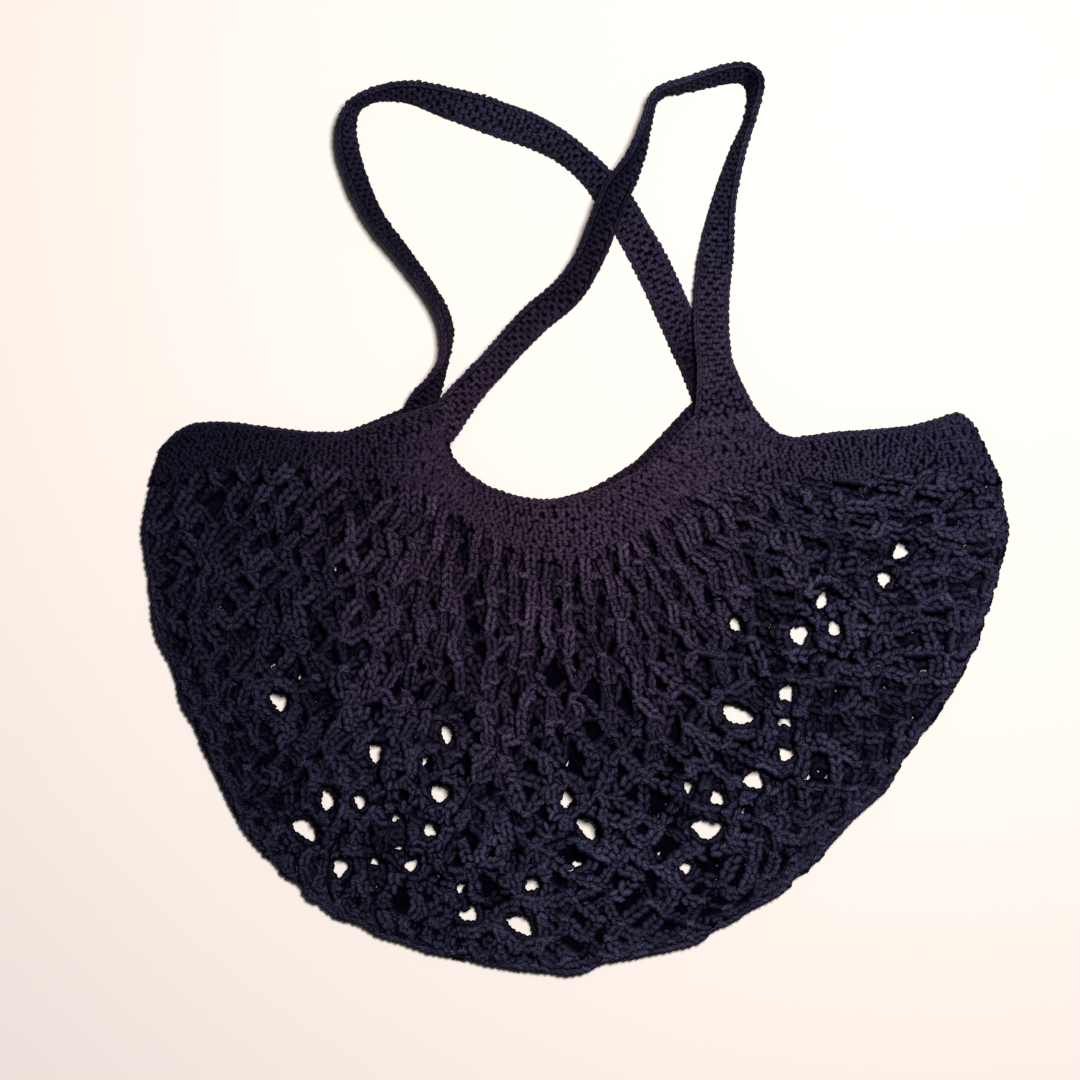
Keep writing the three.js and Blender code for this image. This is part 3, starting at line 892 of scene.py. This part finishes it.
def strandChains(layer):
    start, end, column, row, outward = netStrands(layer)
    count = len(start)
    span = end - start
    length = np.linalg.norm(span, axis=1)
    fan = fanAt((column + 0.5) / netForm["columns"])
    radial = unit(outlineAt(fan[:, 1]) - lowEdge(fan[:, 0] / lastStation))
    rowGap = np.abs((span * radial).sum(1))
    columnGap = np.sqrt(np.maximum(0, length ** 2 - rowGap ** 2))
    pressed = np.clip((netForm["pressGap"] - columnGap) / netForm["pressReach"], 0, 1)
    bunched = crowding(column + 0.5, outward)
    over = np.choose(column % 3, netForm["bunchLift"]) * bunched
    over = over + np.where(column % 2 == 0, 1, -1) * netForm["pressLift"] * pressed * (1 - bunched)
    heights = unevenField(netForm["columns"] + 1, netForm["rows"] + 1)[..., 0]
    lift = np.where(over > 0, netForm["ropeRise"], netForm["ropeSink"]) * over
    lift = lift + netForm["heightSpread"] * heights[column, row]
    # painted shade: the lower a strand lies, the darker it is
    depth = np.clip(1 + (lift - 1) / netForm["sunkReach"], netForm["sunkShade"], netForm["topShade"])
    depth = depth * np.clip(dice.normal(1, netForm["strandShade"], count), *netForm["strandRange"])
    # a slack strand is a flat arch, as high as its spare length allows
    slack = np.sqrt(np.maximum(0, 3 * length * (netForm["strand"] - length) / 8))
    sideways = np.stack([-span[:, 1], span[:, 0]], axis=-1) / length[:, None]
    aside = dice.normal(0, netForm["slackSpread"], count)
    aside = np.clip(aside, -netForm["slackMost"], netForm["slackMost"])
    bow = slack * aside * (1 - netForm["bunchStraight"] * bunched)
    arc = np.sqrt(length ** 2 + 16 / 3 * bow ** 2)
    stretch = np.clip(arc / netForm["strand"], *netForm["stretchRange"])
    roll = dice.normal(0, netForm["roll"], count)
    roll = np.radians(np.clip(roll, -netForm["rollMost"], netForm["rollMost"]))
    twist = np.radians(dice.normal(0, netForm["twist"], count))
    frontSize = 1 + netForm["openSize"] * (1 - pressed)
    facing, size, shade = layerLook(layer, column, (start + end) / 2, frontSize)

    def pathAt(share):
        arch = 4 * share * (1 - share)
        plan = partLoops(start + span * share + sideways * (bow * arch)[:, None], layer)
        shareLift = netForm["knotLift"] + (1 - netForm["knotLift"]) * arch
        return raised(plan, layerHeight(layer, plan, lift * shareLift))

    places = []
    for k in range(netForm["stitches"]):
        share = netForm["knotShare"] + (1 - 2 * netForm["knotShare"]) * (k + 0.5) / netForm["stitches"]
        spot = pathAt(share)
        ahead = unit(pathAt(share + knotReach) - pathAt(share - knotReach))
        normal = unit(facing - ahead * (facing * ahead).sum(-1, keepdims=True))
        rolled = turned(normal, ahead, roll + twist * (share - 0.5))
        calm = np.maximum(spotForm["calm"] * besideSpot(spot[:, :2]), netForm["pressCalm"] * pressed)
        places += chainLegs(netChain, spot, ahead, rolled, stretch, size, depth * shade, calm)
    return places


# the grains of one knot: degrees turned, half length, half thickness, place aside and height
knotForm = {
    "front": [
        (80, 3.5, 1.85, -1.7, 0.4), (100, 3.5, 1.85, 1.7, 0.4),
        (10, 3.8, 1.8, 0, 1.3), (-30, 3.5, 1.8, 0.6, 0.9),
    ],
    "back": [(80, 3.4, 2.2, -2.0, 0.2), (100, 3.4, 2.2, 2.0, 0.2), (5, 3.8, 2.1, 0, 1.0)],
}


def knotGrains(layer):
    # each knot: short legs side by side, wrapped by others
    plan, _, used = layerKnots[layer]
    column, row = np.meshgrid(np.arange(plan.shape[0]), np.arange(plan.shape[1]), indexing="ij")
    chosen = ((column + row) % 2 == firstKnot[layer]) & (row > 0) & used
    plan = partLoops(plan[chosen], layer)
    count = len(plan)
    points = raised(plan, layerHeight(layer, plan, np.zeros(count)))
    facing, size, shade = layerLook(layer, column[chosen], plan, np.ones(count))
    right = np.tile((1.0, 0.0, 0.0), (count, 1))
    depth = shade * np.clip(
        dice.normal(netForm["knotTone"], netForm["strandShade"], count), *netForm["knotRange"])
    shorter = 1 - spotForm["knotLess"] * besideSpot(plan)
    places = []
    for turn, half, thick, aside, rise in knotForm[layer]:
        lean = np.radians(turn + dice.normal(0, netForm["knotLean"], count))
        spot = points + right * aside + facing * rise
        places.append(layGrains(spot, right, facing, half * size * shorter, thick * size, lean, depth=depth))
    return places


def rimChains():
    # the chain along the outline, where the net's last rows press together
    wander = dice.normal(0, netForm["rimSpread"], netForm["rimBends"])
    bends = np.column_stack([np.linspace(0, 1, len(wander)), wander])

    def path(share):
        ahead = direction(outlineAt, share, 0.002)
        inward = np.stack([-ahead[..., 1], ahead[..., 0]], axis=-1)
        inner = np.minimum(1, np.minimum(share, 1 - share) / netForm["rimSteady"])
        inset = netForm["rimInset"] * (netForm["rimEndInset"] + (1 - netForm["rimEndInset"]) * inner)
        aside = inset + eased(bends, share, netForm["rimEase"] / len(bends))[..., 0] * inner
        plan = outlineAt(share) + inward * aside[..., None]
        return raised(plan, layerHeight("front", plan, 0.0))

    share = evenShares(path, edgeChain["pitch"])
    depth = dice.uniform(*netForm["rimShade"], len(share))
    ahead = direction(path, share)
    return chainLegs(rimChain, path(share), ahead, upward(len(share)), depth=depth, calm=netForm["rimCalm"])


def oneSide(places, hand):
    # the grains of one half of the net
    kept = []
    for place in places:
        chosen = (place[0][:, 0] - netForm["splitX"]) * hand >= 0
        kept.append(tuple(part[chosen] for part in place))
    return kept


for layer in ("front", "back"):
    layerPlaces = strandChains(layer) + knotGrains(layer)
    layerPlaces += rimChains() if layer == "front" else spotRims()
    for hand, side in ((-1, "left"), (1, "right")):
        places = oneSide(layerPlaces, hand)
        stitchPiece(f"net_{layer}_{side}", places, netForm["yarnShade"], netYarn, "net_body")

# the band
bandForm = {
    "rows": 4,  # pairs of rows from the upper to the lower edge
    "coreThickness": 2.2,
    "coreSteps": (220, 6),  # faces round the mouth and down the band
    "leftShade": 0.35,  # painted shade: the band is darker towards the left, where less light falls
    "leftReach": 160,
    # painted shade on the band's inner face, which lies under the front band
    "innerShade": 0.5,
    "yarnShade": 0.2,
    "flatTall": 0.042,  # metres at its tallest
    "flatArea": 0.0335,  # square metres, because it is lower at the sides
}
# one stitch over a pair of rows, grain by grain: place along the row, by pitch, and down the rows,
# half length, half thickness, degrees turned from the row, and height above the cloth's middle
bandStitch = {
    "pitch": 6.9,
    "tall": 10,
    "uneven": 0.4,
    "lean": 13,
    "margin": 0.03,  # share of the cloth left to its edge chains
    "grains": [
        (-0.22, 0.14, 2.8, 1.85, 60, 1.2), (0.22, 0.15, 2.8, 1.85, 120, 1.2),
        (-0.25, 0.40, 2.5, 1.75, 14, 0.9), (0.24, 0.42, 2.5, 1.75, -10, 0.9),
        (-0.26, 0.67, 2.7, 1.8, 66, 0.9), (0.20, 0.69, 2.7, 1.8, 72, 0.9),
        (-0.02, 0.92, 2.6, 1.75, 4, 0.7),
    ],
}
# the band's inner face, which shows only at the mouth
innerStitch = {
    **bandStitch,
    "margin": 0.04,
    "grains": [
        (-0.23, 0.2, 3.0, 1.9, 62, 0.8), (0.23, 0.2, 3.0, 1.9, 118, 0.8),
        (-0.25, 0.7, 3.0, 1.8, 20, 0.6), (0.23, 0.7, 3.0, 1.8, -15, 0.6),
    ],
}
topPoint = {station: np.array((x, y), float) for station, x, y in bandTop}
weldGap = 0.05  # points of a seam that are closer become one


def bandUpper(across, front):
    # upper edge in plan, straight where a strap sits on it
    edge = topEdge(across)
    station = across * lastStation
    for first, last in (leftSeat, rightSeat):
        share = ((station - first) / (last - first))[..., None]
        straight = topPoint[first] * (1 - share) + topPoint[last] * share
        edge = np.where((share > 0) & (share < 1), straight, edge)
    rise = np.maximum(0, backRise(across)[..., 0]) * np.where(front, 0, 1)
    return edge + np.stack([np.zeros_like(rise), rise], axis=-1)


def bandMiddle(ring, down):
    # the middle of the band's cloth, once round the mouth from the left fold: front, then back
    ring = np.asarray(ring, float) % 1
    front = ring < 0.5
    across = 1 - np.abs(1 - 2 * ring)
    d = np.asarray(down, float)[..., None]
    plan = bandUpper(across, front) * (1 - d) + lowEdge(across) * d
    ends = np.where(across < 0.5, 0.0, 1.0)
    fold = topEdge(ends) * (1 - d) + lowEdge(ends) * d
    flat = np.where(front, frontHeight(across, np.zeros_like(across)), 0) + bagForm["bandThickness"] / 2
    opened = roundUp(np.abs(plan[..., 0] - fold[..., 0]))
    return raised(plan, bagForm["foldHeight"] + (flat - bagForm["foldHeight"]) * opened)


def bandSurface(ring, down):
    ringStep, downStep = 0.0008, 0.02
    point = bandMiddle(ring, down)
    ahead = unit(bandMiddle(ring + ringStep, down) - bandMiddle(ring - ringStep, down))
    lower = bandMiddle(ring, np.minimum(down + downStep, 1))
    normal = unit(np.cross(lower - bandMiddle(ring, np.maximum(down - downStep, 0)), ahead))
    whole = bandMiddle(ring, np.ones_like(down)) - bandMiddle(ring, np.zeros_like(down))
    # painted shade, darker towards the left
    shade = 1 - bandForm["leftShade"] * np.clip(-point[..., 0] / bandForm["leftReach"], 0, 1)
    return point, ahead, normal, np.linalg.norm(whole, axis=-1), shade


def innerSurface(ring, down):
    # the inner face, with painted shade
    point, ahead, normal, tall, shade = bandSurface(ring, down)
    return point, ahead, normal, tall, shade * bandForm["innerShade"]


def middleRing(share):
    return bandMiddle(share, np.full(np.shape(share), 0.5))


def sheetPiece(name, surface, form, closed, node):
    # a thin sheet of cloth under the stitches, moved from a flat grid on to its surface, painted near black
    # as the shade between the stitches
    shape = bmesh.new()
    along, across = form["coreSteps"]
    bmesh.ops.create_grid(shape, x_segments=along, y_segments=across, size=0.5)
    flat = np.array([vertex.co for vertex in shape.verts])
    points = surface(flat[:, 0] + 0.5, 0.5 - flat[:, 1]) * mm
    for vertex, point in zip(shape.verts, points):
        vertex.co = point
    if closed:
        bmesh.ops.remove_doubles(shape, verts=shape.verts, dist=weldGap * mm)
    bmesh.ops.recalc_face_normals(shape, faces=shape.faces)
    mesh = bpy.data.meshes.new(name)
    shape.to_mesh(mesh)
    shape.free()
    mesh.shade_smooth()
    shade = mesh.attributes.new("shade", "FLOAT", "POINT")
    shade.data.foreach_set("value", np.ones(len(mesh.vertices), np.float32))
    piece = finishPiece(name, mesh, shadedCore, node)
    wall = piece.modifiers.new("thickness", "SOLIDIFY")
    wall.thickness = form["coreThickness"] * mm
    wall.offset = 0
    return piece


def bandEdgeChain(first, last, ringStart):
    # a chain along one stretch of the band's upper edge
    way = 1 if ringStart == 0 else -1
    justBelow = 0.1

    def ringAt(share):
        return ringStart + way * (first + (last - first) * share) / lastStation / 2

    def path(share):
        return bandMiddle(ringAt(share), np.zeros(np.shape(share)))

    share = evenShares(path, edgeChain["pitch"])
    point, _, normal, _, _ = bandSurface(ringAt(share), np.zeros(len(share)))
    outward = unit(point - bandMiddle(ringAt(share), np.full(len(share), justBelow)))
    facing = unit(normal * edgeChain["faceUp"] * way + outward * edgeChain["faceOut"])
    # painted shade on the back band's edge chain, as on its inner face
    shade = 1.0 if ringStart == 0 else bandForm["innerShade"]
    return chainLegs(edgeChain, point, direction(path, share), facing, depth=shade)


bandLength = measured(middleRing)[1]
bandOuter = closeStitches(bandSurface, middleRing, bandStitch, bandForm["rows"], 1, True)
bandInner = closeStitches(innerSurface, middleRing, innerStitch, bandForm["rows"], -1, True)
for ringStart, seat in ((0, leftSeat), (1, backLeftSeat)):
    for first, last in ((0, seat[0]), (seat[1], rightSeat[0]), (rightSeat[1], lastStation)):
        bandOuter += bandEdgeChain(first, last, ringStart)
bandCore = sheetPiece("band_cloth", bandMiddle, bandForm, True, "top_band")
bandPieces = [
    stitchPiece(name, places, bandForm["yarnShade"], closeYarn, "top_band")
    for name, places in (("band_outer", bandOuter), ("band_inner", bandInner))
]
print("band", round(bandLength), "mm round")

# the straps
strapForm = {
    "width": 21,
    "thickness": 4.5,
    "flareLength": 34,  # the straps widen to their seats over this length
    "flarePower": 1.3,
    "rootDepth": 6,  # the strap's cloth runs this far down into the band
    "rows": 4,
    "coreThickness": 1.6,
    "coreSteps": (160, 4),
    "edgeInset": 3.8,  # what the edge chains take up of the width
    "valleyShade": 0.5,  # painted shade along the middle of a strap that has curled into a channel
    "fullCurl": 4,
    # painted shade on a strap's face goes no darker than this
    "darkest": 0.2,
    "edgeShade": 0.6,  # edge chains take the face's painted shade by this power
    "yarnShade": 0.2,
}
# one stitch of one row, as the band's
strapStitch = {
    "pitch": 6.6,
    "tall": 4,
    "uneven": 0.25,
    "lean": 9,
    "margin": 0.05,
    "grains": [
        (-0.20, 0.27, 2.4, 1.55, 28, 0.6), (-0.20, 0.75, 2.4, 1.55, -28, 0.6), (0.17, 0.5, 2.3, 1.6, 84, 0.9),
    ],
}
# centre line x and y, the width that shows from above, the lower edge's height,
# how far the edges curl up, and the painted shade that lies on the face
strapBends = {
    "front": [
        (-65, 73, 17.5, 11, 0, 1), (-46, 94, 16, 6, 0, 0.85), (-25, 118, 17.5, 2, 1, 0.75),
        (-5.5, 136, 18, 0, 3, 0.7), (6, 154.5, 16.5, 2.5, 4, 0.75), (15, 175, 17, 5.5, 4, 0.7),
        (23.5, 196, 17, 6, 4, 0.65), (35, 217, 9, 5, 3, 0.7), (43.3, 238, 4, 1, 1, 0.9),
        (50, 253.3, 2, 0, 0, 1), (70, 259.5, 5, 0, 0, 1), (97, 266, 8.5, 0, 0, 0.7),
        (107.5, 260.5, 9, 0, 0, 0.25), (106, 242, 4, 0, 0, 0.9), (97, 217, 7.5, 0, 0, 1),
        (89, 187, 13.5, 1, 0, 1), (84.5, 154, 21, 5.5, 0, 1), (82, 124, 21, 9, 0, 1),
        (83.5, 96, 21, 12, 0, 1),
    ],
    "back": [
        (-89, 70.5, 15, 0, 0, 0.4), (-83.5, 80, 8.5, 0, 0, 0.5), (-77.5, 95, 2, 0, 0, 0.7),
        (-76, 113, 5.5, 0, 0, 0.75), (-83, 131, 6, 0, 0, 0.65), (-100, 155, 8, 0, 0, 0.55),
        (-118.5, 179, 10, 0, 0, 0.55), (-130, 203, 11.5, 0, 0, 0.65), (-136, 227, 11, 0, 0, 0.9),
        (-132.5, 244.5, 5, 0, 0, 1), (-120, 252.5, 4, 0, 0, 1), (-100, 254.5, 9.5, 0, 0, 1),
        (-74, 248, 17, 0, 0, 1), (-44, 239, 21, 0, 0, 1), (-16.5, 227.5, 17.5, 0, 0, 1),
        (5, 212, 15, 0, 0, 1), (23, 192, 19, 0, 0, 0.8), (39, 165.5, 20, 0, 0, 1),
        (51.5, 142, 21, 0, 0, 1), (62, 119, 21, 0, 0, 0.9), (74, 93, 21, 0, 0, 0.3),
    ],
}


def strapSeat(front, seat):
    share = np.array(seat) / lastStation
    first, last = bandUpper(share, front)
    along = unit(last - first)
    outward = np.array((-along[1], along[0]))
    lift = frontHeight(np.mean(share), 0) if front else 0
    return (first + last) / 2, outward, np.linalg.norm(last - first), lift


def strapSurface(front, bends):
    # two functions: from shares along and across a strap to its cloth, and from shares along it to its frame
    startSeat = leftSeat if front else backLeftSeat
    startMiddle, startOut, startLength, startLift = strapSeat(front, startSeat)
    endMiddle, endOut, endLength, endLift = strapSeat(front, rightSeat)
    endLength += strapForm["edgeInset"] if front else 0  # the front strap fills its right seat
    root = strapForm["rootDepth"]
    width = strapForm["width"]
    line = through([
        (*(startMiddle - startOut * root), width, startLift, 0, bends[0][5]),
        (*startMiddle, width, startLift, 0, bends[0][5]),
        *bends,
        (*endMiddle, width, endLift, 0, bends[-1][5]),
        (*(endMiddle - endOut * root), width, endLift, 0, bends[-1][5]),
    ])

    def frameAt(share, step=0.002):
        here = line(share)
        ahead = unit((line(share + step) - line(share - step))[..., :2])
        cosine = np.clip(here[..., 2] / width, 0, 1)  # 1 where the strap lies flat, 0 where it stands on edge
        sine = np.sin(np.arccos(cosine))
        left = np.stack([-ahead[..., 1] * cosine, ahead[..., 0] * cosine, sine], axis=-1)
        up = np.stack([ahead[..., 1] * sine, -ahead[..., 0] * sine, cosine], axis=-1)
        grown = width - strapForm["edgeInset"]
        for middle, length in ((startMiddle, startLength), (endMiddle, endLength)):
            distance = np.linalg.norm(here[..., :2] - middle, axis=-1)
            near = np.maximum(0, 1 - distance / strapForm["flareLength"])
            grown = grown + (length - width) * near ** strapForm["flarePower"]
        height = np.maximum(0, here[..., 3]) + grown / 2 * sine + strapForm["thickness"] / 2 * cosine
        centre = raised(here[..., :2], height)
        forward = raised(ahead, np.zeros(np.shape(share)))
        curl = np.maximum(0, here[..., 4])
        return centre, forward, left, up, grown, curl, np.clip(here[..., 5], strapForm["darkest"], 1)

    def surface(share, across):
        centre, forward, left, up, grown, curl, shade = frameAt(np.asarray(share, float))
        aside = 1 - 2 * np.asarray(across, float)  # 1 at the left edge, -1 at the right one
        point = centre + left * (aside * grown / 2)[..., None] + up * (curl * aside ** 2)[..., None]
        normal = unit(up - left * (4 * curl * aside / grown)[..., None])
        # painted shade in the valley of a curled strap
        valley = 1 - strapForm["valleyShade"] * curl / strapForm["fullCurl"] * (1 - aside ** 2)
        return point, forward, normal, grown, shade * valley

    return surface, frameAt


def strapStitches(surface, frameAt, centreLine):
    places = []
    for faceUp in (1, -1):
        places += closeStitches(surface, centreLine, strapStitch, strapForm["rows"], faceUp, False)
    faceUp, faceOut = edgeChain["faceUp"], edgeChain["faceOut"]
    for hand in (-1, 1):
        def edge(share):
            return surface(share, np.full(np.shape(share), 0.5 - 0.5 * hand))[0]

        share = evenShares(edge, edgeChain["pitch"])
        _, _, left, up, _, _, _ = frameAt(share)
        upright = left[:, 2:]  # an edge that stands up shows its chain from above
        if hand > 0:
            facing = left * (faceOut + (1 - faceOut) * upright) + up * faceUp * (1 - upright)
        else:
            facing = left * -faceOut * (1 - upright) + up * (faceUp + (1 - faceUp) * upright)
        shade = surface(share, np.full(len(share), 0.5))[4] ** strapForm["edgeShade"]
        places += chainLegs(edgeChain, edge(share), direction(edge, share), unit(facing), depth=shade)
    return places


def makeStrap(layer):
    surface, frameAt = strapSurface(layer == "front", strapBends[layer])

    def centreLine(share):
        return frameAt(share)[0]

    def middleCloth(share, across):
        return surface(share, across)[0]

    node = f"strap_{layer}"
    length = measured(centreLine)[1]
    places = strapStitches(surface, frameAt, centreLine)
    core = sheetPiece(f"{node}_cloth", middleCloth, strapForm, False, node)
    stitches = stitchPiece(f"{node}_stitches", places, strapForm["yarnShade"], closeYarn, node)
    print(node, round(length), "mm long")
    return core, stitches, length


strapPieces = [makeStrap(layer) for layer in ("front", "back")]

# floor, light and camera
stageForm = {
    "floorSize": 6.0,
    "floorColour": (0.93, 0.83, 0.77),
    "floorRoughness": 0.9,
    "lampPlace": (0.28, 0.32, 1.75),
    "lampAim": (0.02, 0, 0),
    "lampSize": 0.4,
    "lampPower": 38,
    "skyColour": (0.95, 0.97, 1),
    "skyStrength": 0.06,
    "photoCentre": (-20.4, -13.5),  # what the middle of the picture shows
    "photoWidth": 648,  # across the picture
    "lens": 100,
}


def makeFloor():
    shape = bmesh.new()
    bmesh.ops.create_grid(shape, x_segments=1, y_segments=1, size=stageForm["floorSize"] / 2)
    mesh = bpy.data.meshes.new("floor")
    shape.to_mesh(mesh)
    shape.free()
    floor = bpy.data.objects.new("floor", mesh)
    bpy.context.scene.collection.objects.link(floor)
    material = bpy.data.materials.new("pale_floor")
    material.use_nodes = True
    setInputs(material.node_tree, material.node_tree.nodes["Principled BSDF"], {
        "Base Color": (*stageForm["floorColour"], 1),
        "Roughness": stageForm["floorRoughness"],
    })
    mesh.materials.append(material)
    floor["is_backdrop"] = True


def makeLight():
    light = bpy.data.lights.new("key", "AREA")
    light.shape = "DISK"
    light.size = stageForm["lampSize"]
    light.energy = stageForm["lampPower"]
    lamp = bpy.data.objects.new("key", light)
    lamp.location = stageForm["lampPlace"]
    bpy.context.scene.collection.objects.link(lamp)
    x, y, z = np.subtract(stageForm["lampAim"], stageForm["lampPlace"])
    lamp.rotation_euler = (math.atan2(math.hypot(x, y), -z), 0, math.atan2(x, -y) + math.pi)
    sky = bpy.data.worlds.new("studio")
    sky.use_nodes = True
    setInputs(sky.node_tree, sky.node_tree.nodes["Background"], {
        "Color": (*stageForm["skyColour"], 1),
        "Strength": stageForm["skyStrength"],
    })
    bpy.context.scene.world = sky
    bpy.context.scene.view_settings.view_transform = "Standard"


def makeCamera():
    camera = bpy.data.cameras.new("camera")
    camera.lens = stageForm["lens"]
    view = bpy.data.objects.new("camera", camera)
    height = stageForm["photoWidth"] * mm / 2 / math.tan(camera.angle / 2)
    x, y = stageForm["photoCentre"]
    view.location = (x * mm, y * mm, height + bagForm["foldHeight"] * mm)
    bpy.context.scene.collection.objects.link(view)
    bpy.context.scene.camera = view


makeFloor()
makeLight()
makeCamera()
print("floor, light and camera ready")

total = 0
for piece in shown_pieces():
    piece.data.calc_loop_triangles()
    print(piece.name, len(piece.data.loop_triangles), "triangles")
    total += len(piece.data.loop_triangles)
print("whole bag", total, "triangles")
